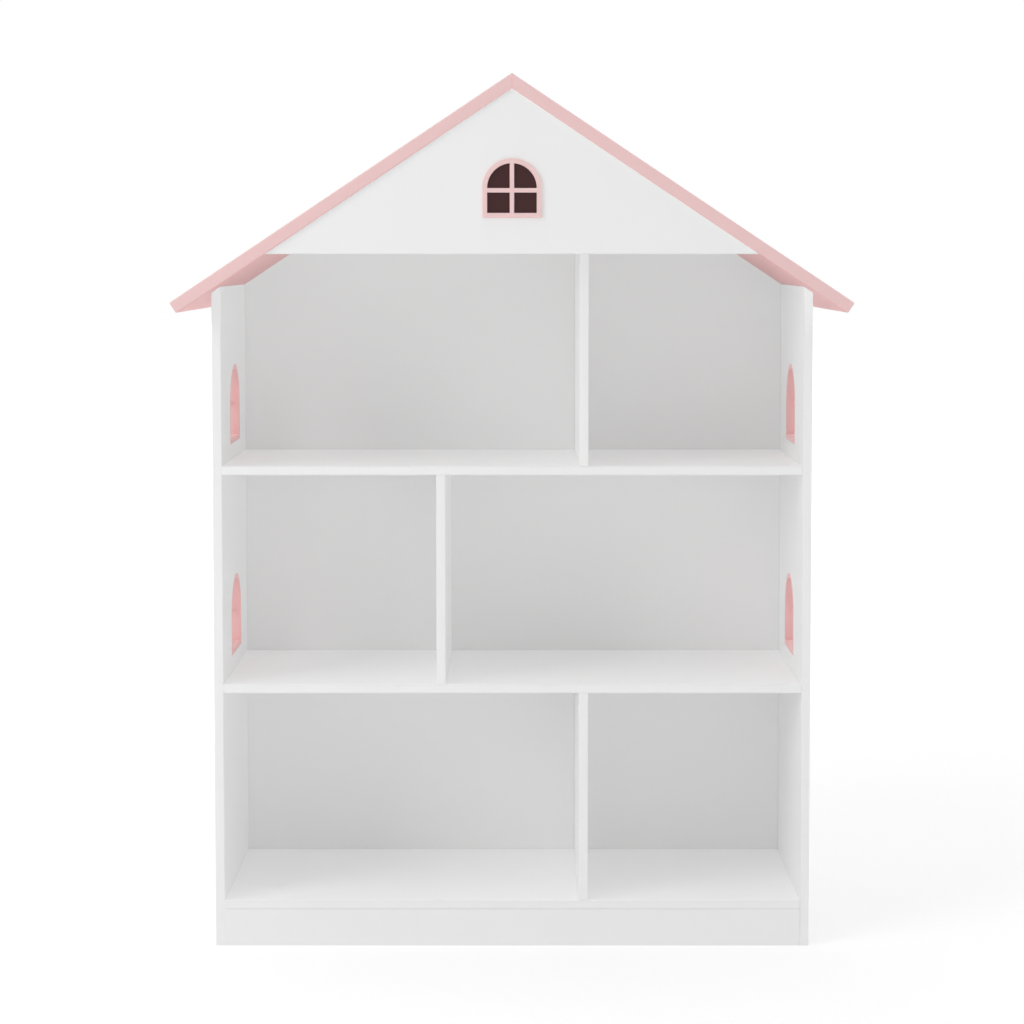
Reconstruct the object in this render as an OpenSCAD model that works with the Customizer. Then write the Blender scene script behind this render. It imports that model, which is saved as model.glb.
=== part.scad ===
// House-shaped bookcase for a child's room: a white cabinet of three tiers under a pink pitched roof.
// Millimetres. X runs from left to right, Y from front to rear and Z up. The origin is on the floor,
// in the middle of the overall width and depth.

/* [Cabinet] */
// Width over the outer faces of the side panels
body_w = 787; // [720:1:950]
// Depth of the side panels, front edge to rear edge
body_d = 290; // [260:1:380]
// Thickness of the cabinet boards
board_t = 12; // [11:0.5:16]
// Radius of the eased edges on the cabinet boards
ease_r = 1.5; // [0.5:0.1:3]
// Height of the plinth under the base shelf
plinth_h = 49; // [46:1:70]
// Clear height of the lower tier
lower_tier_h = 277; // [230:1:300]
// Clear height of the middle tier
middle_tier_h = 277; // [230:1:300]
// Height of the side panels above the upper shelf, measured at their outer faces
upper_side_h = 227.5; // [200:0.5:320]
// Distance from the middle of the cabinet to the middle of each divider
divider_x = 94; // [60:1:160]

/* [Back panel] */
// Thickness of the back panel
back_t = 3; // [3:0.5:5]
// Distance from the back panel's rear face to the rear edges of the side panels
back_inset = 15; // [14:1:25]
// Depth of the grooves that hold the back panel
groove_d = 5; // [3:0.5:7]
// Play of the back panel in its grooves
panel_fit = 0.2; // [0.1:0.05:0.4]

/* [Roof] */
// Thickness of the roof boards
roof_t = 16; // [14:0.5:22]
// Pitch of the roof in degrees
roof_pitch = 33.7; // [28:0.1:40]
// Reach of the roof in front of the cabinet
roof_front = 55; // [45:1:80]
// Reach of the eaves beyond the side panels
eave_w = 47; // [30:1:80]
// Radius of the eased edges on the roof boards
roof_ease_r = 2; // [0.5:0.1:4]

/* [Gable] */
// Height of the gable panel from its lower edge to its peak
gable_h = 212; // [190:1:230]
// Distance from the front edge of the roof back to the face of the gable
gable_setback = 5; // [5:0.5:15]

/* [Gable window] */
// Width of the gable window over its frame, which is also its height
gable_win_w = 76; // [60:1:90]
// Height of the window above the lower edge of the gable
gable_win_sill = 46.5; // [30:0.5:60]
// Width of the bar around the gable window
gable_win_bar = 6.2; // [4:0.1:9]
// Thickness of the window frame in front of the gable
gable_win_proud = 4; // [2:0.5:5]
// Thickness of the dark pane plate let into the gable
pane_t = 2; // [1:0.5:4]

/* [Side windows] */
// Width of the arched cut-outs in the side panels, which is also their height
side_win_w = 107; // [80:1:125]
// Distance from the front edge of a side panel to the middle of its windows
side_win_y = 148; // [120:1:160]
// Height of the cut-outs above the shelf below them
side_win_sill = 21; // [14:1:40]
// Width of the bar around each side window
side_win_bar = 7; // [5:0.5:10]
// Thickness of the muntins across each side window
muntin_t = 6; // [3:0.5:9]
// Width of the muntins of all windows
muntin_w = 5.7; // [4:0.1:8]
// Width of the lip that each side window frame has around its cut-out
lip_w = 4; // [2:0.5:8]
// Thickness of that lip on the outer face of the side panel
lip_t = 3; // [1.5:0.5:5]
// Play of each window frame in its cut-out
window_fit = 0.2; // [0.1:0.05:0.4]

/* [Hidden timber] */
// Width and depth of the cleats behind the gable
cleat_w = 15; // [14:1:20]
// Distance from each end of the gable's slope to the cleat
cleat_end = 45; // [40:1:80]
// Half width of the batten under the ridge
ridge_half_w = 30; // [24:1:40]
// Depth of the upright edges of the ridge batten
ridge_edge = 6; // [3:0.5:10]
// Height of the rail under the roof at the rear
rail_h = 60; // [50:1:75]

/* [Dowels] */
// Diameter of the wood dowels
dowel_d = 6; // [5:0.5:6]
// Length of the wood dowels
dowel_l = 24; // [20:1:28]
// Length of each dowel that sits in the face of a board
dowel_seat = 8; // [6:0.5:9]
// Play around each dowel
dowel_fit = 0.1; // [0.05:0.05:0.2]
// Empty depth left at each end of a dowel's hole
dowel_end = 0.5; // [0.3:0.1:1]

/* [Screws] */
// Diameter of the long screws' shanks
screw_d = 4; // [3.5:0.1:4.5]
// Length of the long screws
screw_l = 40; // [35:1:45]
// Diameter of the long screws' heads
screw_head_d = 8; // [7:0.1:9]
// Diameter of the short screws' shanks
short_d = 3.5; // [3:0.1:4]
// Length of the short screws
short_l = 25; // [22:0.5:26]
// Diameter of the short screws' heads
short_head_d = 7; // [6:0.1:8]
// Play around the screws
screw_fit = 0.1; // [0.05:0.05:0.2]
// Diameter of the cover caps on the side panels
cap_d = 12; // [10:0.5:14]
// Thickness of the cover caps
cap_t = 1; // [0.8:0.1:2]
// Diameter of the plugs over the roof screws
plug_d = 10; // [9.5:0.5:12]
// Depth from the roof's face to the screw heads under the plugs
plug_depth = 8; // [6:0.5:9]

/* [Nails] */
// Diameter of the back panel nails
nail_d = 1.8; // [1.4:0.1:2]
// Length of the nails under their heads
nail_l = 20; // [16:1:22]
// Diameter of the nails' heads
nail_head_d = 4; // [3:0.5:5]
// Thickness of the nails' heads
nail_head_t = 0.8; // [0.6:0.1:1.2]
// Spacing of the nails
nail_pitch = 150; // [120:1:160]
// Distance from the end of a divider to its nail
nail_end = 70; // [40:1:100]

/* [Fixing places] */
// Distance from the front and rear edges of the shelves to the screws in their ends
screw_in = 37; // [20:1:45]
// Spacing from each of those screws to the dowel beside it
dowel_step = 32; // [20:1:40]
// Distance from the upper and lower edges of the plinth boards to the dowels in their ends
plinth_dowel_in = 14; // [10:1:16]
// Distance from the ends of the cleats and the ridge batten to the first screw
cleat_screw_in = 25; // [15:1:40]
// Distance from the ridge to the screws in its batten
ridge_screw_x = 16; // [12:1:18]
// Distance from the upper corner of the rear rail to its roof screw
rail_screw_in = 22; // [15:1:35]

/* [Wall fixing] */
// Diameter of the two wall-fixing holes
wall_hole_d = 5.5; // [4:0.5:7]
// Spacing of the two wall-fixing holes
wall_hole_pitch = 300; // [240:1:340]

/* [Hidden] */
$fn = 64;

white = [0.92, 0.92, 0.91];
pink = [0.91, 0.77, 0.77];
dark_brown = [0.27, 0.17, 0.18];
beech = [0.83, 0.68, 0.48];
pine = [0.88, 0.76, 0.56];
steel = [0.72, 0.73, 0.75];

// Cuts run this far past the faces that they break
over = 1;

// Levels of the shelves, at their undersides and their tops
base_z = plinth_h;
base_top = base_z + board_t;
middle_z = base_top + lower_tier_h;
middle_top = middle_z + board_t;
upper_z = middle_top + middle_tier_h;
upper_top = upper_z + board_t;
side_h = upper_top + upper_side_h;

// Widths
half_w = body_w / 2;
inner_half_w = half_w - board_t;
side_mid_x = half_w - board_t / 2;

// Depths: the roof's front edge and the side panels' rear edges are the front and rear of the whole
roof_d = roof_front + body_d;
roof_front_y = -roof_d / 2;
front_y = roof_front_y + roof_front;
rear_y = front_y + body_d;
back_y = rear_y - back_inset - back_t;
inner_d = back_y - front_y;
gable_y = roof_front_y + gable_setback;
cleat_y = gable_y + board_t;
rail_y = back_y + back_t + panel_fit;

// Roof: its underside meets the outer top edges of the side panels
apex_z = side_h + half_w * tan(roof_pitch);
roof_rise = roof_t / cos(roof_pitch);
ridge_over = roof_t * tan(roof_pitch);
slope_l = (half_w + eave_w - roof_t * sin(roof_pitch)) / cos(roof_pitch);
gable_z = apex_z - gable_h;
gable_slope_l = gable_h / sin(roof_pitch);
cleat_l = gable_slope_l - 2 * cleat_end;
function underside_z(x) = apex_z - abs(x) * tan(roof_pitch);
function roof_top_z(x) = underside_z(x) + roof_rise;
ridge_batten_z = underside_z(ridge_half_w) - ridge_edge;
rail_top_half_w = (apex_z - gable_z - rail_h) / tan(roof_pitch);
rail_screw_x = rail_top_half_w + rail_screw_in;

// Screws and dowels in the ends of the shelves and of the plinth boards, as [y, z] on a side panel
front_screw_y = front_y + screw_in;
rear_screw_y = back_y - screw_in;
shelf_zs = [base_z, middle_z, upper_z];
side_screw_places = [for (z = shelf_zs, y = [front_screw_y, rear_screw_y]) [y, z + board_t / 2]];
shelf_dowel_ys = [front_screw_y + dowel_step, rear_screw_y - dowel_step];
shelf_dowel_places = [for (z = shelf_zs, y = shelf_dowel_ys) [y, z + board_t / 2]];
plinth_ys = [front_y + board_t / 2, back_y - board_t / 2];
plinth_dowel_zs = [plinth_dowel_in, plinth_h - plinth_dowel_in];
plinth_dowel_places = [for (y = plinth_ys, z = plinth_dowel_zs) [y, z]];

// Places along the width, in nail spacings from the middle: nails, and upright dowels midway between them
nail_steps = [-2:1:2];
plinth_top_steps = [-1.5:1:1.5];

// ---- Outlines ----

// Board section with its two front corners rounded: x is depth from the front edge
module eased_section(depth, thick, r) {
    translate([r, 0]) square([depth - r, thick]);
    translate([0, r]) square([2 * r, thick - 2 * r]);
    for (y = [r, thick - r]) translate([r, y]) circle(r = r);
}

// Section with all four corners rounded
module rounded_section(w, h, r) {
    translate([r, 0]) square([w - 2 * r, h]);
    translate([0, r]) square([w, h - 2 * r]);
    for (x = [r, w - r], y = [r, h - r]) translate([x, y]) circle(r = r);
}

// Round-headed window outline, as high as it is wide, with its sill at y = 0
module arch(w, inset = 0) {
    r = w / 2 - inset;
    translate([-r, inset]) square([2 * r, r]);
    translate([0, w / 2]) circle(r = r);
}

// Window bars: an arched ring crossed by two muntins, the level one right under the arch
module window_cross(w) {
    translate([-muntin_w / 2, 0]) square([muntin_w, w - muntin_w / 2]);
    translate([-w / 2 + muntin_w / 2, w / 2 - muntin_w]) square([w - muntin_w, muntin_w]);
}
module window_ring(w, bar) {
    difference() {
        arch(w);
        arch(w, bar);
    }
}

// ---- Placing ----

module both_sides() {
    children();
    mirror([1, 0, 0]) children();
}

// Frame of the right roof slope: X runs down the slope and Z out of the roof, from the ridge's underside
module on_slope() {
    translate([0, 0, apex_z]) rotate([0, roof_pitch, 0]) children();
}

// Prism of the house outline under the roof, raised by rise, from y to y + depth
module house_prism(w, low, rise, y, depth) {
    outline = [
        [-w, low],
        [w, low],
        [w, underside_z(w) + rise],
        [0, apex_z + rise],
        [-w, underside_z(w) + rise]
    ];
    translate([0, y + depth, 0]) rotate([90, 0, 0]) linear_extrude(depth) polygon(outline);
}
module under_roof() {
    house_prism(half_w + over, -over, 0, roof_front_y - over, roof_d + 2 * over);
}

// ---- Fasteners, drawn along Z with their heads or joints at z = 0 ----

module screw(d, l, head_d) {
    head_h = (head_d - d) / 2;
    recess_w = d / 5;
    difference() {
        union() {
            translate([0, 0, -head_h]) cylinder(h = head_h, d1 = d, d2 = head_d);
            translate([0, 0, -l + d]) cylinder(h = l - d - head_h, d = d);
            translate([0, 0, -l]) cylinder(h = d, d1 = d / 4, d2 = d);
        }
        for (a = [0, 90]) rotate([0, 0, a]) translate([-d / 2, -recess_w / 2, -head_h]) {
            cube([d, recess_w, head_h + over]);
        }
    }
}
module screw_hole(d, l, head_d) {
    head_h = (head_d - d) / 2;
    hole_d = d + 2 * screw_fit;
    seat_d = head_d + 2 * screw_fit;
    translate([0, 0, -l - screw_fit]) cylinder(h = l, d = hole_d);
    translate([0, 0, -head_h]) cylinder(h = head_h, d1 = hole_d, d2 = seat_d);
    cylinder(h = over, d = seat_d);
}
module long_screw() {
    screw(screw_d, screw_l, screw_head_d);
}
module long_screw_hole() {
    screw_hole(screw_d, screw_l, screw_head_d);
}
module short_screw() {
    screw(short_d, short_l, short_head_d);
}
module short_screw_hole() {
    screw_hole(short_d, short_l, short_head_d);
}

// Dowel: its seat lies below z = 0 and the rest above
module dowel() {
    bevel = dowel_d / 8;
    translate([0, 0, -dowel_seat]) {
        cylinder(h = bevel, d1 = dowel_d - 2 * bevel, d2 = dowel_d);
        translate([0, 0, bevel]) cylinder(h = dowel_l - 2 * bevel, d = dowel_d);
        translate([0, 0, dowel_l - bevel]) cylinder(h = bevel, d1 = dowel_d, d2 = dowel_d - 2 * bevel);
    }
}
module dowel_hole() {
    translate([0, 0, -dowel_seat - dowel_end]) {
        cylinder(h = dowel_l + 2 * dowel_end, d = dowel_d + 2 * dowel_fit);
    }
}
module cover_cap() {
    rim_h = cap_t / 2;
    cylinder(h = rim_h, d = cap_d);
    translate([0, 0, rim_h]) cylinder(h = cap_t - rim_h, d1 = cap_d, d2 = cap_d - 2 * cap_t);
}
module nail() {
    cylinder(h = nail_head_t, d = nail_head_d);
    translate([0, 0, -nail_l + nail_d]) cylinder(h = nail_l - nail_d, d = nail_d);
    translate([0, 0, -nail_l]) cylinder(h = nail_d, d1 = nail_d / 4, d2 = nail_d);
}
module nail_hole() {
    translate([0, 0, -nail_l - screw_fit]) cylinder(h = nail_l + over, d = nail_d + 2 * screw_fit);
}

// ---- Where the fasteners go: each places its children at every one of its fixings ----

module at_side_screws() {
    both_sides() for (p = side_screw_places) translate([half_w, p.x, p.y]) rotate([0, 90, 0]) children();
}
module at_end_dowels(places) {
    both_sides() for (p = places) translate([inner_half_w, p.x, p.y]) rotate([0, -90, 0]) children();
}

// Upright dowels between the plinth boards and the base shelf
module at_plinth_top_dowels() {
    for (i = plinth_top_steps, y = plinth_ys) {
        translate([i * nail_pitch, y, base_z]) rotate([180, 0, 0]) children();
    }
}
module at_divider_feet(x, z) {
    for (y = shelf_dowel_ys) translate([x, y, z]) children();
}
module at_divider_heads(x, z) {
    for (y = shelf_dowel_ys) translate([x, y, z]) rotate([180, 0, 0]) children();
}
module at_lower_divider_dowels() {
    at_divider_feet(divider_x, base_top) children();
    at_divider_heads(divider_x, middle_z) children();
}
module at_middle_divider_dowels() {
    at_divider_feet(-divider_x, middle_top) children();
    at_divider_heads(-divider_x, upper_z) children();
}
module at_upper_divider_dowels() {
    at_divider_feet(divider_x, upper_top) children();
    at_divider_heads(divider_x, underside_z(divider_x)) children();
}

// Upright screws through the roof into the side panels and into the rear rail
module at_roof_screws() {
    side_ys = [front_screw_y, (front_screw_y + rear_screw_y) / 2, rear_screw_y];
    both_sides() {
        for (y = side_ys) {
            translate([side_mid_x, y, roof_top_z(side_mid_x) - plug_depth]) children();
        }
        translate([rail_screw_x, rail_y + board_t / 2, roof_top_z(rail_screw_x) - plug_depth]) children();
    }
}

// Screws up through the cleats into the roof, and forward through the cleats into the gable
module at_cleat_roof_screws() {
    both_sides() on_slope() {
        for (x = [cleat_screw_in, cleat_l / 2, cleat_l - cleat_screw_in]) {
            translate([cleat_end + x, cleat_y + cleat_w / 2, -cleat_w]) rotate([180, 0, 0]) children();
        }
    }
}
module at_cleat_gable_screws() {
    both_sides() on_slope() {
        for (x = [cleat_l / 2 - 2 * cleat_screw_in, cleat_l / 2 + 2 * cleat_screw_in]) {
            translate([cleat_end + x, cleat_y + cleat_w, -cleat_w / 2]) rotate([-90, 0, 0]) children();
        }
    }
}
module at_ridge_screws() {
    first_y = cleat_y + cleat_w + cleat_screw_in;
    last_y = back_y - cleat_screw_in;
    both_sides() for (y = [first_y, (first_y + last_y) / 2, last_y]) {
        translate([ridge_screw_x, y, ridge_batten_z]) rotate([180, 0, 0]) children();
    }
}

// Nails through the back panel, into the shelves' rear edges and into the dividers'
module at_shelf_nails(z) {
    for (i = nail_steps) {
        translate([i * nail_pitch, back_y + back_t, z + board_t / 2]) rotate([-90, 0, 0]) children();
    }
}
module at_divider_nails(x, zs) {
    for (z = zs) translate([x, back_y + back_t, z]) rotate([-90, 0, 0]) children();
}
module at_lower_divider_nails() {
    at_divider_nails(divider_x, [base_top + nail_end, middle_z - nail_end]) children();
}
module at_middle_divider_nails() {
    at_divider_nails(-divider_x, [middle_top + nail_end, upper_z - nail_end]) children();
}
module at_upper_divider_nails() {
    at_divider_nails(divider_x, [upper_top + nail_end, upper_top + nail_end + nail_pitch]) children();
}
module at_nails() {
    for (z = shelf_zs) at_shelf_nails(z) children();
    at_lower_divider_nails() children();
    at_middle_divider_nails() children();
    at_upper_divider_nails() children();
}

// Holes along Y through the rear rail and the back panel, for two screws into the wall
module wall_holes() {
    for (x = [-1, 1]) {
        translate([x * wall_hole_pitch / 2, back_y - over, gable_z + rail_h / 2]) rotate([-90, 0, 0]) {
            cylinder(h = rear_y - back_y + over, d = wall_hole_d);
        }
    }
}

// ---- Cabinet boards ----

module back_pocket() {
    house_prism(inner_half_w + groove_d, base_z, groove_d / cos(roof_pitch), back_y, back_t + panel_fit);
}
module side_board() {
    difference() {
        intersection() {
            translate([half_w, front_y, 0]) rotate([0, 0, 90]) {
                linear_extrude(side_h + board_t) eased_section(body_d, board_t, ease_r);
            }
            under_roof();
        }
        for (z = [middle_top, upper_top]) {
            translate([inner_half_w - over, front_y + side_win_y, z + side_win_sill]) rotate([90, 0, 90]) {
                linear_extrude(board_t + 2 * over) arch(side_win_w);
            }
        }
        back_pocket();
        at_side_screws() long_screw_hole();
        at_end_dowels(concat(shelf_dowel_places, plinth_dowel_places)) dowel_hole();
        at_roof_screws() long_screw_hole();
    }
}
module right_side_panel() {
    color(white) side_board();
}
module left_side_panel() {
    color(white) mirror([1, 0, 0]) side_board();
}
module shelf_board(z) {
    difference() {
        translate([-inner_half_w, front_y, z]) rotate([90, 0, 90]) {
            linear_extrude(2 * inner_half_w) eased_section(inner_d, board_t, ease_r);
        }
        at_side_screws() long_screw_hole();
        at_end_dowels(shelf_dowel_places) dowel_hole();
        at_shelf_nails(z) nail_hole();
    }
}
module base_shelf() {
    color(white) difference() {
        shelf_board(base_z);
        at_plinth_top_dowels() dowel_hole();
        at_lower_divider_dowels() dowel_hole();
    }
}
module middle_shelf() {
    color(white) difference() {
        shelf_board(middle_z);
        at_lower_divider_dowels() dowel_hole();
        at_middle_divider_dowels() dowel_hole();
    }
}
module upper_shelf() {
    color(white) difference() {
        shelf_board(upper_z);
        at_middle_divider_dowels() dowel_hole();
        at_upper_divider_dowels() dowel_hole();
    }
}
module upright_board(x, z, h) {
    translate([x + board_t / 2, front_y, z]) rotate([0, 0, 90]) {
        linear_extrude(h) eased_section(inner_d, board_t, ease_r);
    }
}
module lower_divider() {
    color(white) difference() {
        upright_board(divider_x, base_top, lower_tier_h);
        at_lower_divider_dowels() dowel_hole();
        at_lower_divider_nails() nail_hole();
    }
}
module middle_divider() {
    color(white) difference() {
        upright_board(-divider_x, middle_top, middle_tier_h);
        at_middle_divider_dowels() dowel_hole();
        at_middle_divider_nails() nail_hole();
    }
}

// This divider rises past the gable's lower edge to the underside of the roof
module upper_divider() {
    color(white) difference() {
        intersection() {
            upright_board(divider_x, upper_top, apex_z - upper_top);
            under_roof();
        }
        at_upper_divider_dowels() dowel_hole();
        at_upper_divider_nails() nail_hole();
    }
}
module plinth_board(y) {
    difference() {
        translate([-inner_half_w, y - board_t / 2, 0]) cube([2 * inner_half_w, board_t, plinth_h]);
        at_end_dowels(plinth_dowel_places) dowel_hole();
        at_plinth_top_dowels() dowel_hole();
    }
}
module front_plinth() {
    color(white) plinth_board(plinth_ys[0]);
}
module rear_plinth() {
    color(white) plinth_board(plinth_ys[1]);
}
module back_panel() {
    reach = groove_d - panel_fit;
    color(white) difference() {
        house_prism(inner_half_w + reach, base_z, reach / cos(roof_pitch), back_y, back_t);
        at_nails() nail_hole();
        wall_holes();
    }
}

// ---- Roof and gable ----

module roof_slab() {
    on_slope() intersection() {
        translate([-ridge_over - roof_t, rear_y, 0]) rotate([90, 0, 0]) {
            linear_extrude(roof_d) rounded_section(slope_l + ridge_over + roof_t, roof_t, roof_ease_r);
        }
        translate([-ridge_over - roof_t, roof_front_y, 0]) rotate([90, 0, 90]) {
            linear_extrude(slope_l + ridge_over + roof_t) rounded_section(roof_d, roof_t, roof_ease_r);
        }
    }
}

// The right roof board, cut upright at the ridge where it meets the left one, its mirror image
module roof_board() {
    difference() {
        intersection() {
            roof_slab();
            translate([0, roof_front_y - over, 0]) {
                cube([half_w + eave_w + over, roof_d + 2 * over, 2 * apex_z]);
            }
        }
        back_pocket();
        at_roof_screws() {
            long_screw_hole();
            cylinder(h = 2 * plug_depth, d = plug_d + 2 * screw_fit);
        }
        at_cleat_roof_screws() short_screw_hole();
        at_ridge_screws() short_screw_hole();
    }
}

// Only the right one has holes for the upper divider's dowels
module right_roof_board() {
    color(pink) difference() {
        roof_board();
        at_upper_divider_dowels() dowel_hole();
    }
}
module left_roof_board() {
    color(pink) mirror([1, 0, 0]) roof_board();
}
module gable_panel() {
    color(white) difference() {
        intersection() {
            translate([-half_w, gable_y, gable_z]) rotate([90, 0, 90]) {
                linear_extrude(body_w) rounded_section(board_t, gable_h + board_t, ease_r);
            }
            under_roof();
        }
        translate([0, gable_y + pane_t, gable_z + gable_win_sill]) rotate([90, 0, 0]) {
            linear_extrude(pane_t + over) arch(gable_win_w, gable_win_bar / 2);
        }
        at_cleat_gable_screws() short_screw_hole();
    }
}
module gable_cleat() {
    difference() {
        on_slope() translate([cleat_end, cleat_y, -cleat_w]) cube([cleat_l, cleat_w, cleat_w]);
        at_cleat_roof_screws() short_screw_hole();
        at_cleat_gable_screws() short_screw_hole();
    }
}
module right_gable_cleat() {
    color(pine) gable_cleat();
}
module left_gable_cleat() {
    color(pine) mirror([1, 0, 0]) gable_cleat();
}
module ridge_batten() {
    first_y = cleat_y + cleat_w;
    color(pine) difference() {
        house_prism(ridge_half_w, ridge_batten_z, 0, first_y, back_y - first_y);
        at_ridge_screws() short_screw_hole();
    }
}
module rear_roof_rail() {
    color(pine) difference() {
        intersection() {
            translate([-inner_half_w, rail_y, gable_z]) cube([2 * inner_half_w, board_t, rail_h]);
            under_roof();
        }
        at_roof_screws() long_screw_hole();
        wall_holes();
    }
}

// ---- Windows ----

module gable_window_frame() {
    color(pink) translate([0, gable_y, gable_z + gable_win_sill]) rotate([90, 0, 0]) {
        linear_extrude(gable_win_proud) {
            window_ring(gable_win_w, gable_win_bar);
            window_cross(gable_win_w);
        }
    }
}
module gable_window_panes() {
    color(dark_brown) translate([0, gable_y + pane_t, gable_z + gable_win_sill]) rotate([90, 0, 0]) {
        linear_extrude(pane_t) arch(gable_win_w, gable_win_bar / 2 + window_fit);
    }
}

// Frame of a side window: the ring lines the cut-out, the lip and the muntins are on the outer side
module side_window(z) {
    ring_w = side_win_w - 2 * window_fit;
    translate([inner_half_w, front_y + side_win_y, z + side_win_sill]) rotate([90, 0, 90]) {
        translate([0, window_fit, 0]) {
            linear_extrude(board_t + lip_t) window_ring(ring_w, side_win_bar - window_fit);
            translate([0, 0, board_t + lip_t - muntin_t]) linear_extrude(muntin_t) window_cross(ring_w);
        }
        translate([0, -lip_w, board_t]) linear_extrude(lip_t) {
            window_ring(side_win_w + 2 * lip_w, lip_w + side_win_bar);
        }
    }
}
module upper_right_window() {
    color(pink) side_window(upper_top);
}
module middle_right_window() {
    color(pink) side_window(middle_top);
}
module upper_left_window() {
    color(pink) mirror([1, 0, 0]) side_window(upper_top);
}
module middle_left_window() {
    color(pink) mirror([1, 0, 0]) side_window(middle_top);
}

// ---- Dowels, screws, caps and nails ----

module shelf_dowels() {
    color(beech) at_end_dowels(shelf_dowel_places) dowel();
}
module plinth_dowels() {
    color(beech) {
        at_end_dowels(plinth_dowel_places) dowel();
        at_plinth_top_dowels() dowel();
    }
}
module divider_dowels() {
    color(beech) {
        at_lower_divider_dowels() dowel();
        at_middle_divider_dowels() dowel();
        at_upper_divider_dowels() dowel();
    }
}
module side_screws() {
    color(steel) at_side_screws() long_screw();
}
module side_screw_caps() {
    color(white) at_side_screws() cover_cap();
}
module roof_screws() {
    color(steel) at_roof_screws() long_screw();
}
module roof_plugs() {
    color(pink) intersection() {
        both_sides() roof_slab();
        at_roof_screws() cylinder(h = 2 * plug_depth, d = plug_d);
    }
}
module cleat_screws() {
    color(steel) {
        at_cleat_roof_screws() short_screw();
        at_cleat_gable_screws() short_screw();
    }
}
module ridge_screws() {
    color(steel) at_ridge_screws() short_screw();
}
module back_panel_nails() {
    color(steel) at_nails() nail();
}

left_side_panel();
right_side_panel();
base_shelf();
middle_shelf();
upper_shelf();
lower_divider();
middle_divider();
upper_divider();
front_plinth();
rear_plinth();
back_panel();
left_roof_board();
right_roof_board();
gable_panel();
left_gable_cleat();
right_gable_cleat();
ridge_batten();
rear_roof_rail();
gable_window_frame();
gable_window_panes();
upper_left_window();
middle_left_window();
upper_right_window();
middle_right_window();
shelf_dowels();
plinth_dowels();
divider_dowels();
side_screws();
side_screw_caps();
roof_screws();
roof_plugs();
cleat_screws();
ridge_screws();
back_panel_nails();
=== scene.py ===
# %% [markdown]
# # A house-shaped bookcase, dressed for its picture
# The bookcase is a white cabinet under a pink pitched roof. Its boards are already modelled at
# their real size, in metres, and come in as a fixed frame. They could be modelled again here, but
# then two sets of sizes would have to agree. So this lesson keeps the boards, gives them their
# paint, models only the window frames and the cover caps anew, and builds a plain studio.

# %% Load the frame
import math

import bmesh
import bpy
from mathutils import Matrix, Vector


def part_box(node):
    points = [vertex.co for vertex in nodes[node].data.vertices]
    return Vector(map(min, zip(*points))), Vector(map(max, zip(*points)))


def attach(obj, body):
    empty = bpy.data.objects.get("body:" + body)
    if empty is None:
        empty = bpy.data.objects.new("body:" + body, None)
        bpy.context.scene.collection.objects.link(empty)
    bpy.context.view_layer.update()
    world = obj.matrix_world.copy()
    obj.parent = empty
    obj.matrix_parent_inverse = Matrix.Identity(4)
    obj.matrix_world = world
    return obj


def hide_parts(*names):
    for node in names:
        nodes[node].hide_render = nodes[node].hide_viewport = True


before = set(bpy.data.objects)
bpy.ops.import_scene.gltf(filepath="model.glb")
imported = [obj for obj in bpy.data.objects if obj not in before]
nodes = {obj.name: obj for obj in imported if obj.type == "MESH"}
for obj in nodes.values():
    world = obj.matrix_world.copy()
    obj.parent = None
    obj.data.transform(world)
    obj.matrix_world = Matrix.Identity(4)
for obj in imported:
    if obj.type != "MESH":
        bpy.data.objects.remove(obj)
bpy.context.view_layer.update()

MM = 0.001
scene = bpy.context.scene
print("boards and fittings in the frame:", len(nodes))

# %% [markdown]
# ## The camera
# The picture was taken from straight ahead with a long lens, a little above the middle of the
# cabinet, so the tops of all three shelves show. Its uprights are parallel. A level camera with a
# large lens shift would draw them so, but it would push the roof out of every other view. This
# camera tilts down very slightly instead, and a small shift does the rest of the framing.

# %% Camera
QUARTER_TURN = math.radians(90)
EYE = Vector((15.7, -3212.2, 913.7)) * MM
TILT_DOWN = math.radians(3.33)
SENSOR_MM = 36
LENS_MM = 83.15
SHIFT_X, SHIFT_Y = -0.0119, -0.115


def add_object(name, data):
    """A new object in the scene that holds a camera, a lamp or a mesh."""
    made = bpy.data.objects.new(name, data)
    scene.collection.objects.link(made)
    return made


camera = add_object("camera", bpy.data.cameras.new("camera"))
camera.location = EYE
camera.rotation_euler = (QUARTER_TURN - TILT_DOWN, 0, 0)
camera.data.sensor_width = SENSOR_MM
camera.data.lens = LENS_MM
camera.data.shift_x = SHIFT_X
camera.data.shift_y = SHIFT_Y
scene.camera = camera
scene.view_settings.view_transform = "Standard"

# %% [markdown]
# ## Nodes from a script
# Every finish below is a small tree of shader nodes. It could be drawn by hand in the shader
# editor, but a script can put the same layer on many materials. Making a node, setting it up and
# linking it takes three lines each time, so one helper does that: settings are the node's own
# properties, and inputs are given by socket, as a plain value or as the socket that feeds them.


# %% Make a node
def feed(tree, socket, value):
    """Links an input to the socket that feeds it, or sets it to a plain value."""
    if isinstance(value, bpy.types.NodeSocket):
        tree.links.new(value, socket)
    else:
        socket.default_value = value


def add_node(tree, kind, inputs=None, **settings):
    """A new node, with its properties and its input sockets filled in."""
    made = tree.nodes.new(kind)
    for name, value in settings.items():
        setattr(made, name, value)
    for name, value in (inputs or {}).items():
        feed(tree, made.inputs[name], value)
    return made


def empty_tree(owner):
    """The node tree of a material or of the world, cleared."""
    owner.use_nodes = True
    owner.node_tree.nodes.clear()
    return owner.node_tree


print("helpers for nodes:", feed.__name__, add_node.__name__, empty_tree.__name__)


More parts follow.
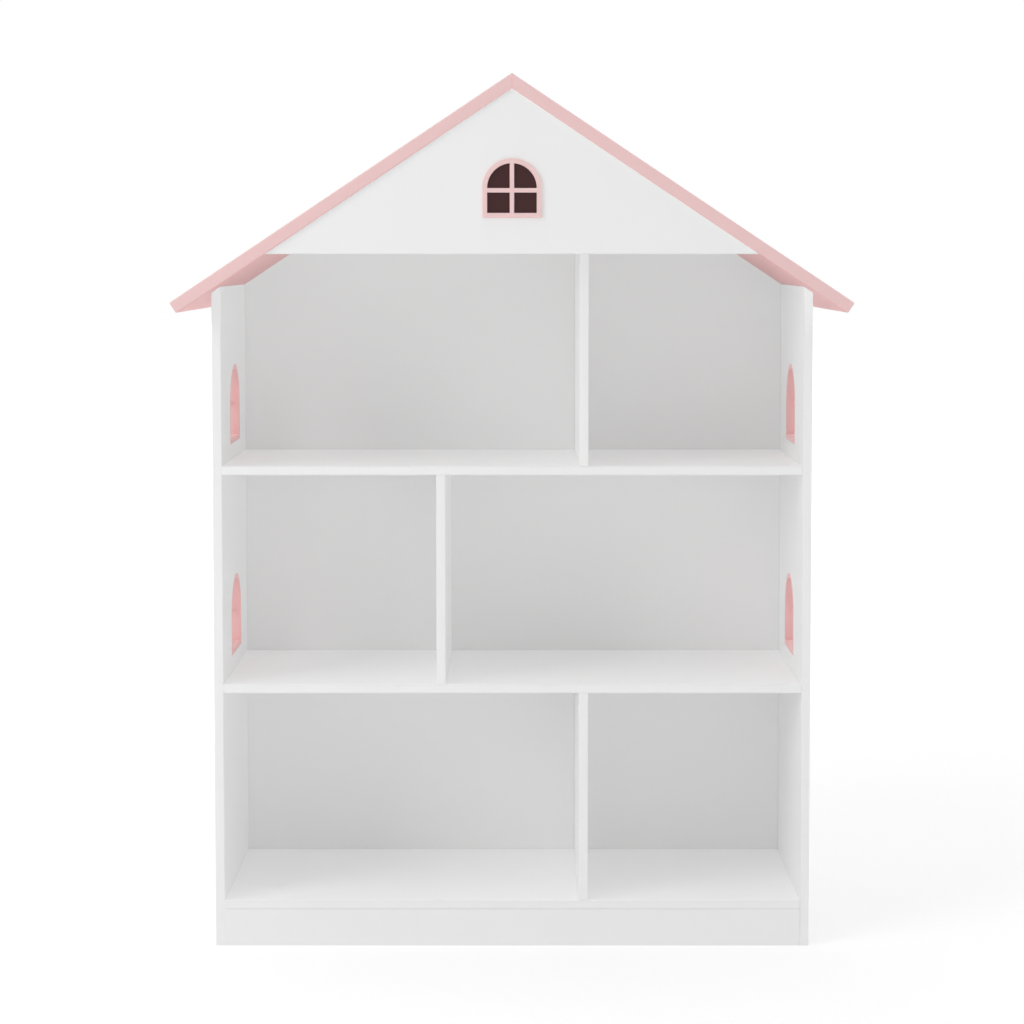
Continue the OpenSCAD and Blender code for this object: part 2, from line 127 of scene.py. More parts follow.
# %% Start a material
def start_material(name):
    """An empty node material with a shader, and the object coordinates that patterns follow."""
    material = bpy.data.materials.new(name)
    tree = empty_tree(material)
    shader = add_node(tree, "ShaderNodeBsdfPrincipled")
    add_node(tree, "ShaderNodeOutputMaterial", {"Surface": shader.outputs["BSDF"]})
    coords = add_node(tree, "ShaderNodeTexCoord").outputs["Object"]
    return material, tree, shader, coords


print("materials before the first finish:", len(bpy.data.materials))

# %% [markdown]
# ## Colours
# A colour read off a screen is stored so that its steps look even, and shaders need the amount of
# light itself. The curve between the two is a standard one, so it is written out here once, and
# every colour below can be given as it is seen.

# %% Colours
WHITE = (1, 1, 1, 1)


def srgb(red, green, blue):
    """A colour as it is read off a screen, 0 to 255, as the linear values that shaders use."""
    def linear(value):
        value /= 255
        return value / 12.92 if value <= 0.04045 else ((value + 0.055) / 1.055) ** 2.4
    return (linear(red), linear(green), linear(blue), 1)


def scaled(colour, share):
    """The colour with each of its channels multiplied by the same share."""
    return [channel * share for channel in colour[:3]] + [1]


print("a white of 238 in linear values:", [round(v, 3) for v in srgb(238, 238, 238)[:3]])

# %% [markdown]
# ## Patterns from noise
# Paint, wood and metal all vary in colour, in gloss and in height. Photographed textures could
# give this, but each board would need its own scale and would show a seam. Noise computed from
# the object's coordinates has neither trouble: its grain is a real length, and the pattern runs
# on over a board's edge. These helpers turn a noise into a colour, a roughness or a relief.


# %% Noise and colour
def noise(tree, coords, grain, detail=2.0, distortion=0.0):
    """Noise, from 0 to 1, with blotches about one grain across."""
    inputs = {"Vector": coords, "Scale": 1 / grain, "Detail": detail, "Distortion": distortion}
    return add_node(tree, "ShaderNodeTexNoise", inputs).outputs["Fac"]


def mixed(tree, factor, first, second, blend_type="MIX"):
    """first at a factor of 0 and second at 1. With MULTIPLY, second tints first instead."""
    blend = add_node(tree, "ShaderNodeMix", data_type="RGBA", blend_type=blend_type)
    feed(tree, blend.inputs["Factor"], factor)
    colours = [socket for socket in blend.inputs if socket.type == "RGBA"]
    feed(tree, colours[0], first)
    feed(tree, colours[1], second)
    return next(socket for socket in blend.outputs if socket.type == "RGBA")


def ramp(tree, pattern, low, high, start=0.0, end=1.0):
    """A colour that goes from low to high while the pattern's value goes from start to end."""
    tint = add_node(tree, "ShaderNodeValToRGB", {"Fac": pattern})
    first, last = tint.color_ramp.elements
    first.position, last.position = start, end
    first.color, last.color = low, high
    return tint.outputs["Color"]


print("helpers for colour:", noise.__name__, mixed.__name__, ramp.__name__)


# %% Roughness and relief
def vary_roughness(tree, shader, pattern, smooth, rough):
    """The surface goes from smooth to rough with the pattern."""
    spread = add_node(tree, "ShaderNodeMapRange",
                      {"Value": pattern, "To Min": smooth, "To Max": rough})
    tree.links.new(spread.outputs["Result"], shader.inputs["Roughness"])


def add_relief(tree, shader, pattern, strength, depth):
    """The surface rises with the pattern, by depth at full strength."""
    relief = add_node(tree, "ShaderNodeBump",
                      {"Height": pattern, "Strength": strength, "Distance": depth})
    tree.links.new(relief.outputs["Normal"], shader.inputs["Normal"])


print("helpers for the surface:", vary_roughness.__name__, add_relief.__name__)


# %% Sums on sockets
def computed(tree, operation, *terms):
    """The result of one sum, done by a Math node on numbers or sockets."""
    inputs = dict(enumerate(terms))
    return add_node(tree, "ShaderNodeMath", inputs, operation=operation).outputs["Value"]


def one_axis(tree, vector, axis):
    """The X, Y or Z of a vector."""
    return add_node(tree, "ShaderNodeSeparateXYZ", {"Vector": vector}).outputs[axis]


print("helpers for sums:", computed.__name__, one_axis.__name__)

# %% [markdown]
# ## Painted shade and dust in the joints
# Where two real boards meet, less light comes in and a little dust settles, so the joint shows as
# a thin soft line. It could be cut as a groove, but these joints are tight. An occlusion node
# looks for a neighbour within a few millimetres instead, and the paint is darker there: painted
# shade, together with the dust.

# %% Painted shade and dust in joints
JOINT_REACH = 4 * MM
JOINT_TONE = 0.94
JOINT_SAMPLES = 4


def joint_shade_and_dust(tree, coat):
    """The coat, darker beside a neighbouring board: painted shade, with a little dust."""
    corners = add_node(tree, "ShaderNodeAmbientOcclusion", {"Distance": JOINT_REACH},
                       samples=JOINT_SAMPLES)
    shade = mixed(tree, corners.outputs["AO"], scaled(WHITE, JOINT_TONE), WHITE)
    return mixed(tree, 1.0, coat, shade, blend_type="MULTIPLY")


print("joints are", round(100 * (1 - JOINT_TONE)), "per cent darker within", JOINT_REACH / MM, "mm")

# %% [markdown]
# ## The roof's painted shade and ridge line
# From below, the pink roof boards are painted a little deeper in colour than at the front: a
# painted shade. They meet at the ridge in a fine upright line. Separate materials for each face
# would do it, but the frame's meshes stay as they are. So the paint asks the surface itself: one
# mask is 1 where the surface looks down, for the painted shade, and another is 1 within half a
# millimetre of the middle of the house.

# %% Masks for the roof
LOOKS_DOWN = -0.5
RIDGE_LINE = 0.5 * MM


def painted_shade_below(tree):
    """1 where the surface looks down, for the painted shade, else 0."""
    normal = add_node(tree, "ShaderNodeTexCoord").outputs["Normal"]
    return computed(tree, "LESS_THAN", one_axis(tree, normal, "Z"), LOOKS_DOWN)


def on_ridge(tree, coords):
    """1 on the line in which the roof boards meet, else 0."""
    from_middle = computed(tree, "ABSOLUTE", one_axis(tree, coords, "X"))
    return computed(tree, "LESS_THAN", from_middle, RIDGE_LINE)


print("the ridge's line is", 2 * RIDGE_LINE / MM, "mm wide")

# %% [markdown]
# ## A neutral light on the neighbours
# Pink paint and bare wood colour the light that they throw on the boards around them. In the
# picture the white stays white right under the roof, as it does when a photographer balances it
# afterwards. A paler pink would lessen the cast, but the roof itself would fade. The Light Path
# node can tell the two apart: a ray that has bounced off another surface meets a neutral grey.

# %% Neutral cast
NEUTRAL = srgb(231, 231, 231)


def neutral_cast(tree, coat):
    """The coat as it is seen, and a neutral grey for the light that it throws."""
    rays = add_node(tree, "ShaderNodeLightPath")
    return mixed(tree, rays.outputs["Is Diffuse Ray"], coat, NEUTRAL)


print("neutral grey in linear values:", round(NEUTRAL[0], 3))

# %% [markdown]
# ## Satin paint on fibreboard
# The boards are smooth fibreboard under sprayed satin paint. One flat colour would look like
# plastic film. Three things make it paint: the coat is thinner in wide patches, which lowers its
# tone by a per cent or so; its sheen varies gently; and it has a faint orange peel, with a grain
# of about a millimetre. Each is a noise of its own size, so that no pattern shows twice.

# %% Satin paint
TONE_PATCH = 160 * MM
THIN_TONE = 0.985
SHEEN_PATCH = 25 * MM
PEEL_GRAIN = 1.1 * MM
PEEL_DEPTH = 0.03 * MM
PEEL_STRENGTH = 0.35


def satin_paint(name, colour, sheen=(0.34, 0.46), shine=0.5, roof_shade_and_seam=None):
    """Sprayed satin paint: sheen is the range of its roughness and shine the strength of its gloss.

    The last argument makes it the roof's paint: its deeper colour is painted shade on faces that
    look down, and the joint line along the ridge.
    """
    material, tree, shader, coords = start_material(name)
    patches = noise(tree, coords, TONE_PATCH, detail=3.0)
    coat = mixed(tree, patches, scaled(colour, THIN_TONE), colour)
    if roof_shade_and_seam:
        # Painted shade: faces that look down take the deeper pink
        coat = mixed(tree, painted_shade_below(tree), coat, roof_shade_and_seam)
        coat = mixed(tree, on_ridge(tree, coords), coat, roof_shade_and_seam)
    # Painted shade and dust along the joints between boards
    coat = joint_shade_and_dust(tree, coat)
    if roof_shade_and_seam:
        coat = neutral_cast(tree, coat)
    tree.links.new(coat, shader.inputs["Base Color"])
    shader.inputs["Specular IOR Level"].default_value = shine
    vary_roughness(tree, shader, noise(tree, coords, SHEEN_PATCH, detail=4.0), *sheen)
    add_relief(tree, shader, noise(tree, coords, PEEL_GRAIN), PEEL_STRENGTH, PEEL_DEPTH)
    return material


white_paint = satin_paint("white_paint", srgb(238, 238, 238))
print("paint on the boards:", white_paint.name, "with", len(white_paint.node_tree.nodes), "nodes")

# %% [markdown]
# ## The other paints
# The thin back panel is a touch duller than the boards. The pinks differ too: the roof is matt,
# and the window frames are a little more lively, the side ones deeper in colour: painted shade,
# as they stand against the light. All of them are the same paint with other values, so no
# new nodes are needed. The caps over the screws are moulded plastic, which is smoother.

# %% White back, pinks and plastic
PINK_SHEEN = (0.44, 0.56)

white_back = satin_paint("white_back", srgb(236, 236, 236), sheen=(0.42, 0.55))
# The roof's deeper pink is painted shade on its underside, and its ridge line
pink_paint = satin_paint("pink_paint", srgb(236, 200, 199), sheen=(0.48, 0.60), shine=0.2,
                         roof_shade_and_seam=srgb(234, 185, 184))
pink_trim = satin_paint("pink_trim", srgb(237, 204, 203), sheen=PINK_SHEEN, shine=0.3)
# Painted shade: the side frames' deeper pink stands for the dim light in their reveals
pink_window_shaded = satin_paint("pink_window_shaded", srgb(238, 190, 189), sheen=PINK_SHEEN, shine=0.3)
cap_plastic = satin_paint("cap_plastic", srgb(240, 240, 238), sheen=(0.20, 0.28))
print("made:", [m.name for m in (white_back, pink_paint, pink_trim, pink_window_shaded, cap_plastic)])

# %% [markdown]
# ## Dark panes
# The gable's panes are no glass: they are one thin plate behind the frame, in dark brown lacquer.
# Glass over a dark box would show the same from the front and be slower to render. The lacquer
# gets a faint cloud, which moves both its tone and its gloss, as if wiped by hand.

# %% Dark lacquer
CLOUD = 18 * MM
CLOUD_TONES = 0.9, 1.1
LACQUER_SHINE = 0.15


def dark_lacquer(name, colour):
    """Glossy dark lacquer with a faint cloud in its tone."""
    material, tree, shader, coords = start_material(name)
    shader.inputs["Specular IOR Level"].default_value = LACQUER_SHINE
    cloud = noise(tree, coords, CLOUD)
    tint = ramp(tree, cloud, *[scaled(colour, tone) for tone in CLOUD_TONES])
    tree.links.new(tint, shader.inputs["Base Color"])
    vary_roughness(tree, shader, cloud, smooth=0.28, rough=0.38)
    return material


dark_pane = dark_lacquer("dark_pane", srgb(59, 26, 27))
print("pane lacquer:", dark_pane.name)

# %% [markdown]
# ## Bare wood
# The cleats, the ridge batten and the rear rail are planed softwood, and the dowels are beech.
# Planed wood shows long streaks where the saw has cut through its year rings. A wave texture
# draws them too evenly, so here the noise itself is stretched along the grain. Each board has its
# own grain direction, and a turn lays the streaks along it.

# %% Bare wood
FIBRES_PER_RING = 12
FIBRE_DEPTH = 0.1 * MM
FIBRE_STRENGTH = 0.4


def bare_wood(name, pale, dark, grain_turn=(0, 0, 0), ring=5 * MM, stretch=14):
    """Planed wood: grain_turn turns the streaks, which lie along X, onto the board's length."""
    material, tree, shader, coords = start_material(name)
    turned = add_node(tree, "ShaderNodeMapping",
                      {"Vector": coords, "Rotation": grain_turn, "Scale": (stretch, 1, 1)},
                      vector_type="TEXTURE").outputs["Vector"]
    streaks = noise(tree, turned, ring, detail=6.0, distortion=0.6)
    tint = ramp(tree, streaks, dark, pale, start=0.35, end=0.65)
    tree.links.new(neutral_cast(tree, tint), shader.inputs["Base Color"])
    fibres = noise(tree, turned, ring / FIBRES_PER_RING)
    vary_roughness(tree, shader, fibres, smooth=0.5, rough=0.7)
    add_relief(tree, shader, fibres, FIBRE_STRENGTH, FIBRE_DEPTH)
    return material


ROOF_PITCH = math.radians(33.7)
PINE = srgb(232, 206, 162), srgb(206, 168, 116)
pine_along_x = bare_wood("pine_along_width", *PINE)
pine_along_y = bare_wood("pine_along_depth", *PINE, grain_turn=(0, 0, QUARTER_TURN))
pine_right_slope = bare_wood("pine_down_right", *PINE, grain_turn=(0, ROOF_PITCH, 0))
pine_left_slope = bare_wood("pine_down_left", *PINE, grain_turn=(0, -ROOF_PITCH, 0))
beech = bare_wood("beech", srgb(220, 186, 142), srgb(200, 160, 116), ring=2 * MM, stretch=8)
print("woods:", [m.name for m in bpy.data.materials if m.name.startswith(("pine", "beech"))])

# %% [markdown]
# ## Zinc plate
# The screws and nails are bright zinc. Their heads are a few millimetres wide, so a plain metal
# would pass, but a screw is turned and plated: fine marks run through its shine. The same noise
# moves the metal's tone and its roughness, because a rough spot on zinc also looks darker.

# %% Zinc plate
TURNING_MARK = 0.6 * MM


def zinc_plate(name):
    """Bright zinc: a metal whose tone and roughness change in fine marks."""
    material, tree, shader, coords = start_material(name)
    shader.inputs["Metallic"].default_value = 1.0
    marks = noise(tree, coords, TURNING_MARK, detail=3.0)
    tint = ramp(tree, marks, srgb(186, 189, 194), srgb(222, 224, 226))
    tree.links.new(tint, shader.inputs["Base Color"])
    vary_roughness(tree, shader, marks, smooth=0.22, rough=0.42)
    return material


zinc = zinc_plate("zinc_plate")
print("finish of the screws and nails:", zinc.name)

# %% [markdown]
# ## Dress the boards
# Each board keeps its shape and only takes its finish. The finishes could be given board by
# board in the order they were built, but a table with one row for each finish is easier to check,
# and the last line shows whether a board was left out.

# %% Finish of every board and fitting
FINISHES = {
    white_paint: ["left_side_panel", "right_side_panel", "base_shelf", "middle_shelf",
                  "upper_shelf", "lower_divider", "middle_divider", "upper_divider",
                  "front_plinth", "rear_plinth", "gable_panel"],
    white_back: ["back_panel"],
    pink_paint: ["left_roof_board", "right_roof_board", "roof_plugs"],
    pink_trim: ["gable_window_frame"],
    pink_window_shaded: ["upper_left_window", "middle_left_window", "upper_right_window",
                  "middle_right_window"],
    dark_pane: ["gable_window_panes"],
    pine_along_x: ["rear_roof_rail"],
    pine_along_y: ["ridge_batten"],
    pine_right_slope: ["right_gable_cleat"],
    pine_left_slope: ["left_gable_cleat"],
    beech: ["shelf_dowels", "plinth_dowels", "divider_dowels"],
    zinc: ["side_screws", "roof_screws", "cleat_screws", "ridge_screws", "back_panel_nails"],
    cap_plastic: ["side_screw_caps"],
}


def dress(piece, material):
    """The piece wears this one material."""
    piece.data.materials.clear()
    piece.data.materials.append(material)


for material, names in FINISHES.items():
    for name in names:
        dress(nodes[name], material)
left_bare = set(nodes) - {name for names in FINISHES.values() for name in names}
print("boards without a finish:", sorted(left_bare))

# %% [markdown]
# ## Sweep a moulding round an arch
# A real window frame has its arrises rounded over, which draws a fine line of light around it. It
# could be cut from a board with booleans, but then each rounding would have to be bevelled along
# a curve. Here the section comes first: one face whose corners are rounded while it is still
# flat. Spin carries it over the arch, two extrusions make the legs, and the legs' feet are cut on
# the slant, so that the sill meets them in mitres.

# %% Section of a moulding
ROUND_STEPS = 3


def rounded_section(half_width, section, ease):
    """The outline of a section, stood at the right end of the arch, with its corners rounded.

    section lists the corners as (inset from the outer edge, depth).
    """
    mesh = bmesh.new()
    corners = [mesh.verts.new((half_width - inset, half_width, depth)) for inset, depth in section]
    mesh.faces.new(corners)
    bmesh.ops.bevel(mesh, geom=corners, offset=ease, offset_type="OFFSET", segments=ROUND_STEPS,
                    profile=0.5, affect="VERTICES", material=-1)
    bmesh.ops.delete(mesh, geom=mesh.faces[:], context="FACES_ONLY")
    return mesh


print("each rounded corner has", ROUND_STEPS, "steps")

# %% Arch, legs and sill
ARCH_STEPS = 48
WELD = 0.001 * MM


def edges_in(items):
    """The edges among the things that an operator returns."""
    return [item for item in items if isinstance(item, bmesh.types.BMEdge)]


def verts_in(items):
    """The vertices among the things that an operator returns."""
    return [item for item in items if isinstance(item, bmesh.types.BMVert)]


def arched_frame(half_width, section, ease):
    """A frame as high as it is wide, lying in the XY plane with its sill's middle at the origin."""
    mesh = rounded_section(half_width, section, ease)
    right_foot = mesh.edges[:]
    spun = bmesh.ops.spin(mesh, geom=right_foot, cent=(0, half_width, 0), axis=(0, 0, 1),
                          angle=math.pi, steps=ARCH_STEPS)
    ends = []
    for foot in (right_foot, edges_in(spun["geom_last"])):
        leg = bmesh.ops.extrude_edge_only(mesh, edges=foot)["geom"]
        for vert in verts_in(leg):
            vert.co.y = half_width - abs(vert.co.x)
        ends.append(edges_in(leg))
    sill = bmesh.ops.extrude_edge_only(mesh, edges=ends[0])["geom"]
    for vert in verts_in(sill):
        vert.co.x = -vert.co.x
    bmesh.ops.remove_doubles(mesh, verts=mesh.verts, dist=WELD)
    bmesh.ops.recalc_face_normals(mesh, faces=mesh.faces)
    return mesh


print("an arch has", ARCH_STEPS, "steps")

# %% [markdown]
# ## Muntins
# The muntins are the thin bars between the panes, with rounded fronts. They could just run into
# the frame, but faces hidden inside another shell are no clean model, and they would be exported
# too. A boolean union joins bars and frame into one closed shell, and its result is kept as the
# mesh, so that no modifier is left.


# %% A bar with rounded front edges
def eased_bar(low, high, ease, along):
    """A bar between two corners, whose front edges along the given axis are rounded."""
    low, high = Vector(low), Vector(high)
    size = high - low
    mesh = bmesh.new()
    bmesh.ops.create_cube(mesh, size=1,
                          matrix=Matrix.Translation((low + high) / 2) @ Matrix.Diagonal((*size, 1)))
    long_edges = [edge for edge in mesh.edges
                  if abs((edge.verts[0].co - edge.verts[1].co)[along]) > size[along] / 2
                  and edge.verts[0].co.z > low.z + size.z / 2]
    bmesh.ops.bevel(mesh, geom=long_edges, offset=ease, offset_type="OFFSET",
                    segments=ROUND_STEPS, profile=0.5, affect="EDGES", material=-1)
    bmesh.ops.recalc_face_normals(mesh, faces=mesh.faces)
    return mesh


print("helper for muntins:", eased_bar.__name__)


# %% Join shells into one
def object_from(mesh, name):
    """A scene object that holds the bmesh, which is used up."""
    data = bpy.data.meshes.new(name)
    mesh.to_mesh(data)
    mesh.free()
    return add_object(name, data)


def united(name, shells):
    """One shell made of several, with the boolean's result kept as the mesh."""
    parts = [object_from(shell, f"{name}_part_{i}") for i, shell in enumerate(shells)]
    body = parts[0]
    for part in parts[1:]:
        union = body.modifiers.new("union", "BOOLEAN")
        union.operation = "UNION"
        union.solver = "EXACT"
        union.object = part
    seen = body.evaluated_get(bpy.context.evaluated_depsgraph_get())
    shape = bpy.data.meshes.new_from_object(seen)
    for part in parts:
        bpy.data.objects.remove(part)
    return add_object(name, shape)


print("helpers for shells:", object_from.__name__, united.__name__)

# %% Put a piece in its place
SHARP_OVER = math.radians(35)


def place(piece, matrix):
    """Puts a piece's mesh where it belongs and shades its round parts smooth."""
    piece.data.transform(matrix)
    if matrix.determinant() < 0:
        piece.data.flip_normals()
    piece.data.shade_smooth()
    piece.data.set_sharp_from_angle(angle=SHARP_OVER)


print("edges stay sharp from", round(math.degrees(SHARP_OVER)), "degrees")

# %% [markdown]
# ## The gable window
# The frame lies on the gable, 4 mm thick, and its muntins cross right under the arch. Its place
# could be typed in, but reading it from the plain frame's own box keeps it exactly where the
# plain one was, whatever the boards' sizes are.

# %% Gable window frame
BAR = 6.2 * MM
MUNTIN = 5.7 * MM
EASE = 0.9 * MM

low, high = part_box("gable_window_frame")
half = (high.x - low.x) / 2
thick = high.y - low.y
ring = arched_frame(half, [(0, 0), (0, thick), (BAR, thick), (BAR, 0)], EASE)
upright = eased_bar((-MUNTIN / 2, BAR / 2, 0), (MUNTIN / 2, 2 * half - BAR / 2, thick), EASE,
                    along=1)
level = eased_bar((BAR / 2 - half, half - MUNTIN, 0), (half - BAR / 2, half, thick), EASE,
                  along=0)
gable_window = united("gable_window_moulding", [ring, upright, level])
# The window's own plane is turned upright, so that its thickness points to the front
stand_up = Matrix.Rotation(QUARTER_TURN, 4, "X")
place(gable_window, Matrix.Translation(((low.x + high.x) / 2, high.y, low.z)) @ stand_up)
dress(gable_window, pink_trim)
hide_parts("gable_window_frame")
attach(gable_window, "root")
print("gable window:", len(gable_window.data.polygons), "faces,", round(2 * half / MM, 1), "mm wide")

# %% [markdown]
# ## The side windows
# Each side window lines its cut-out through the board and has a lip on the outside. Its section
# is therefore an L: a thin liner and a wider lip. One frame could be made and copied four times,
# but a copy would share its mesh. One function makes each of the four, and the left ones are
# mirrored. Mirroring turns a mesh inside out, and place() turns its faces back.

# %% One side window
LIP = 4 * MM
LIP_THICK = 3 * MM
SIDE_BAR = 7 * MM
PLAY = 0.2 * MM
MUNTIN_THICK = 6 * MM


def side_window(node, side):
    """The moulded frame that stands for a plain one. side is 1 on the right, -1 on the left."""
    low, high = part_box(node)
    half = (high.y - low.y) / 2
    deep = high.x - low.x
    liner = LIP + PLAY
    section = [(liner, 0), (liner, deep - LIP_THICK), (0, deep - LIP_THICK), (0, deep),
               (LIP + SIDE_BAR, deep), (LIP + SIDE_BAR, 0)]
    ring = arched_frame(half, section, EASE)
    inner = half - liner
    back = deep - MUNTIN_THICK
    upright = eased_bar((-MUNTIN / 2, LIP + SIDE_BAR / 2, back),
                        (MUNTIN / 2, half + inner - SIDE_BAR / 2, deep), EASE, along=1)
    level = eased_bar((SIDE_BAR / 2 - inner, half - MUNTIN, back),
                      (inner - SIDE_BAR / 2, half, deep), EASE, along=0)
    piece = united(node + "_moulding", [ring, upright, level])
    # Columns: the frame's width lies along Y, its height along Z and its depth points outwards
    turn = Matrix(((0, 0, side, 0), (1, 0, 0, 0), (0, 1, 0, 0), (0, 0, 0, 1)))
    inside_x = low.x if side > 0 else high.x
    place(piece, Matrix.Translation((inside_x, (low.y + high.y) / 2, low.z)) @ turn)
    dress(piece, pink_window_shaded)
    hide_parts(node)
    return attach(piece, "root")


print("a side window's lip is", LIP / MM, "mm wide and", LIP_THICK / MM, "mm thick")

# %% Four side windows
for node, side in (("upper_left_window", -1), ("middle_left_window", -1),
                   ("upper_right_window", 1), ("middle_right_window", 1)):
    made = side_window(node, side)
    print(made.name, "has", len(made.data.polygons), "faces")

# %% [markdown]
# ## Cover caps
# The screws in the side panels are hidden under moulded white caps. A cap is a shallow dome. It
# could be a squashed sphere, but then its rim would not lie flat on the board. So it is a short
# cone whose upper edge is rounded off. Twelve of them are one piece, placed from the shelves that
# the screws hold.

# %% Cover caps
CAP_RADIUS = 6 * MM
CAP_TAPER = 0.9
CAP_THICK = 1 * MM
CAP_SIDES = 48
CAP_EASE = 0.35 * MM
SCREW_IN = 37 * MM
NEARLY = 0.01 * MM

caps = bmesh.new()
side_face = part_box("right_side_panel")[1].x
for shelf in ("base_shelf", "middle_shelf", "upper_shelf"):
    low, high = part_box(shelf)
    middle = (low.z + high.z) / 2
    for y in (low.y + SCREW_IN, high.y - SCREW_IN):
        for side in (-1, 1):
            out = Matrix.Rotation(side * QUARTER_TURN, 4, "Y")
            seat = Matrix.Translation((side * (side_face + CAP_THICK / 2), y, middle))
            bmesh.ops.create_cone(caps, cap_ends=True, segments=CAP_SIDES, radius1=CAP_RADIUS,
                                  radius2=CAP_TAPER * CAP_RADIUS, depth=CAP_THICK,
                                  matrix=seat @ out)
rims = [edge for edge in caps.edges
        if all(abs(abs(vert.co.x) - side_face - CAP_THICK) < NEARLY for vert in edge.verts)]
bmesh.ops.bevel(caps, geom=rims, offset=CAP_EASE, offset_type="OFFSET", segments=ROUND_STEPS,
                profile=0.5, affect="EDGES", material=-1)
cover_caps = object_from(caps, "moulded_cover_caps")
place(cover_caps, Matrix.Identity(4))
dress(cover_caps, cap_plastic)
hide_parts("side_screw_caps")
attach(cover_caps, "root")
print("cover caps:", len(cover_caps.data.polygons), "faces")

# %% [markdown]
# ## Floor
# In a studio the floor is a roll of pale paper that curves up behind the object. A curved sheet
# would work, but it shades unevenly when the camera moves. A large flat plane does not. It is lit
# like anything else, so the bookcase's shadow falls on it. A little light of its own, which only
# the camera and reflections see, lifts it to white. The softbox reaches the far floor less, so
# this lift grows with the distance, and no horizon shows.

# %% Rays that show a thing
def seen_directly(tree):
    """1 for rays from the camera, off a gloss or through a glass, else 0."""
    rays = add_node(tree, "ShaderNodeLightPath")
    total = rays.outputs["Is Camera Ray"]
    for kind in ("Is Glossy Ray", "Is Transmission Ray"):
        total = computed(tree, "MAXIMUM", total, rays.outputs[kind])
    return total


print("helper for floor and sky:", seen_directly.__name__)

# %% Floor
FLOOR_HALF = 30
NEAR_LIFT, FAR_LIFT = 0.12, 0.27
LIFT_GROWS_FROM, LIFT_GROWS_TO = 0.9, 3.5

plane = bmesh.new()
bmesh.ops.create_grid(plane, x_segments=1, y_segments=1, size=FLOOR_HALF)
floor = object_from(plane, "floor")
floor_material = bpy.data.materials.new("floor")
tree = empty_tree(floor_material)
paper = add_node(tree, "ShaderNodeBsdfDiffuse", {"Color": srgb(240, 240, 240)})
spot = add_node(tree, "ShaderNodeTexCoord").outputs["Object"]
distance = add_node(tree, "ShaderNodeVectorMath", {0: spot}, operation="LENGTH").outputs["Value"]
growing = add_node(tree, "ShaderNodeMapRange",
                   {"Value": distance, "From Min": LIFT_GROWS_FROM, "From Max": LIFT_GROWS_TO,
                    "To Min": NEAR_LIFT, "To Max": FAR_LIFT}).outputs["Result"]
lift = computed(tree, "MULTIPLY", seen_directly(tree), growing)
glow = add_node(tree, "ShaderNodeEmission", {"Strength": lift})
both = add_node(tree, "ShaderNodeAddShader", {0: paper.outputs["BSDF"], 1: glow.outputs["Emission"]})
add_node(tree, "ShaderNodeOutputMaterial", {"Surface": both.outputs["Shader"]})
dress(floor, floor_material)
print("the floor is", 2 * FLOOR_HALF, "m wide")

# %% [markdown]
# ## Sky
# White walls and a white ceiling light the bookcase from all round, and mostly from above. A sky
# of one grey would do for the walls, but the shelves' tops would be too dark. This sky is a weak
# grey at the horizon and grows brighter towards the point overhead: its strength is the
# direction's height, raised to a power that keeps the glow near the top. The camera and
# reflections see plain white instead.

# %% Sky
SKY = 0.29
OVERHEAD_GLOW = 1.45
GLOW_TIGHTNESS = 4

world = bpy.data.worlds.new("studio")
scene.world = world
tree = empty_tree(world)
direction = add_node(tree, "ShaderNodeTexCoord").outputs["Object"]
above = computed(tree, "MAXIMUM", one_axis(tree, direction, "Z"), 0.0)
glow = computed(tree, "POWER", above, GLOW_TIGHTNESS)
strength = computed(tree, "MULTIPLY_ADD", glow, OVERHEAD_GLOW, SKY)
sky = add_node(tree, "ShaderNodeBackground", {"Color": WHITE, "Strength": strength})
backdrop = add_node(tree, "ShaderNodeBackground", {"Color": WHITE, "Strength": 1.0})
choice = add_node(tree, "ShaderNodeMixShader",
                  {"Fac": seen_directly(tree), 1: sky.outputs["Background"],
                   2: backdrop.outputs["Background"]})
add_node(tree, "ShaderNodeOutputWorld", {"Surface": choice.outputs["Shader"]})
print("sky from", SKY, "at the horizon to", SKY + OVERHEAD_GLOW, "overhead")

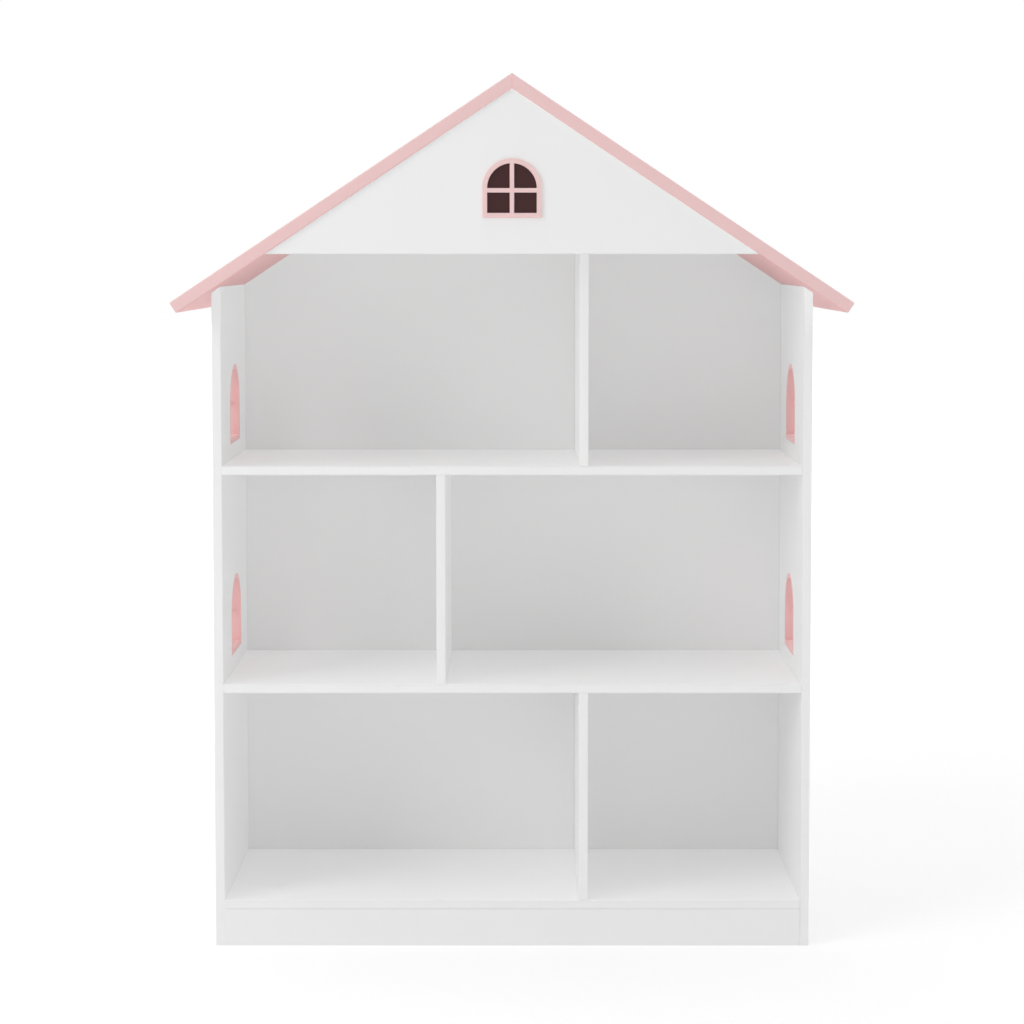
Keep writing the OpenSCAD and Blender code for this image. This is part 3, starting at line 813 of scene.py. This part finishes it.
# %% [markdown]
# ## Softbox
# A softbox is a lamp behind a large white cloth. It stands at the left, a little above the middle
# of the bookcase, and gives the boards their shape: faces that look left are lighter. A small
# lamp would do this too, but with hard shadows that the picture doesn't have.

# %% Softbox
SOFTBOX_SIDE = 2.0
SOFTBOX_WATTS = 35
SOFTBOX_AT = (-3.0, -2.2, 1.9)
SOFTBOX_AIM = (0, 0, 0.6)


def aimed(name, lamp, stands_at, aims_at):
    """A lamp that stands somewhere and faces a point."""
    holder = add_object(name, lamp)
    holder.location = stands_at
    facing = Vector(aims_at) - Vector(stands_at)
    holder.rotation_euler = facing.to_track_quat("-Z", "Y").to_euler()


softbox = bpy.data.lights.new("left_softbox", "AREA")
softbox.shape = "SQUARE"
softbox.size = SOFTBOX_SIDE
softbox.energy = SOFTBOX_WATTS
aimed("left_softbox", softbox, SOFTBOX_AT, SOFTBOX_AIM)
print("the softbox is", SOFTBOX_SIDE, "m wide and gives", SOFTBOX_WATTS, "watts")

# %% [markdown]
# ## Fills without shadows
# In the picture the insides of the bookcase are nearly as bright as its front. Real studios get
# there with many lamps and cards. In a script, a few wide and weak suns that cast no shadow do
# the same: they come from behind on the left, from behind, from the right and from the front,
# and reach the shelves and the inner sides. Multiple importance sampling is off for them, because
# with it a lamp without shadows loses some of its light.

# %% Fills
FILL_WIDTH = math.radians(30)
FILL_AWAY = 3
# Name, degrees round from the front, degrees up, strength
FILLS = (("rear_left_fill", -135, 8, 0.48),
         ("rear_fill", 180, 45, 0.51),
         ("right_fill", 75, 8, 0.63),
         ("front_fill", 0, 3, 0.27))

for name, azimuth, height, strength in FILLS:
    fill = bpy.data.lights.new(name, "SUN")
    fill.energy = strength
    fill.angle = FILL_WIDTH
    fill.use_shadow = False
    fill.cycles.use_multiple_importance_sampling = False
    turn, rise = math.radians(azimuth), math.radians(height)
    toward = Vector((math.sin(turn) * math.cos(rise), -math.cos(turn) * math.cos(rise),
                     math.sin(rise)))
    aimed(name, fill, FILL_AWAY * toward, (0, 0, 0))
    print(name, "strength", strength)
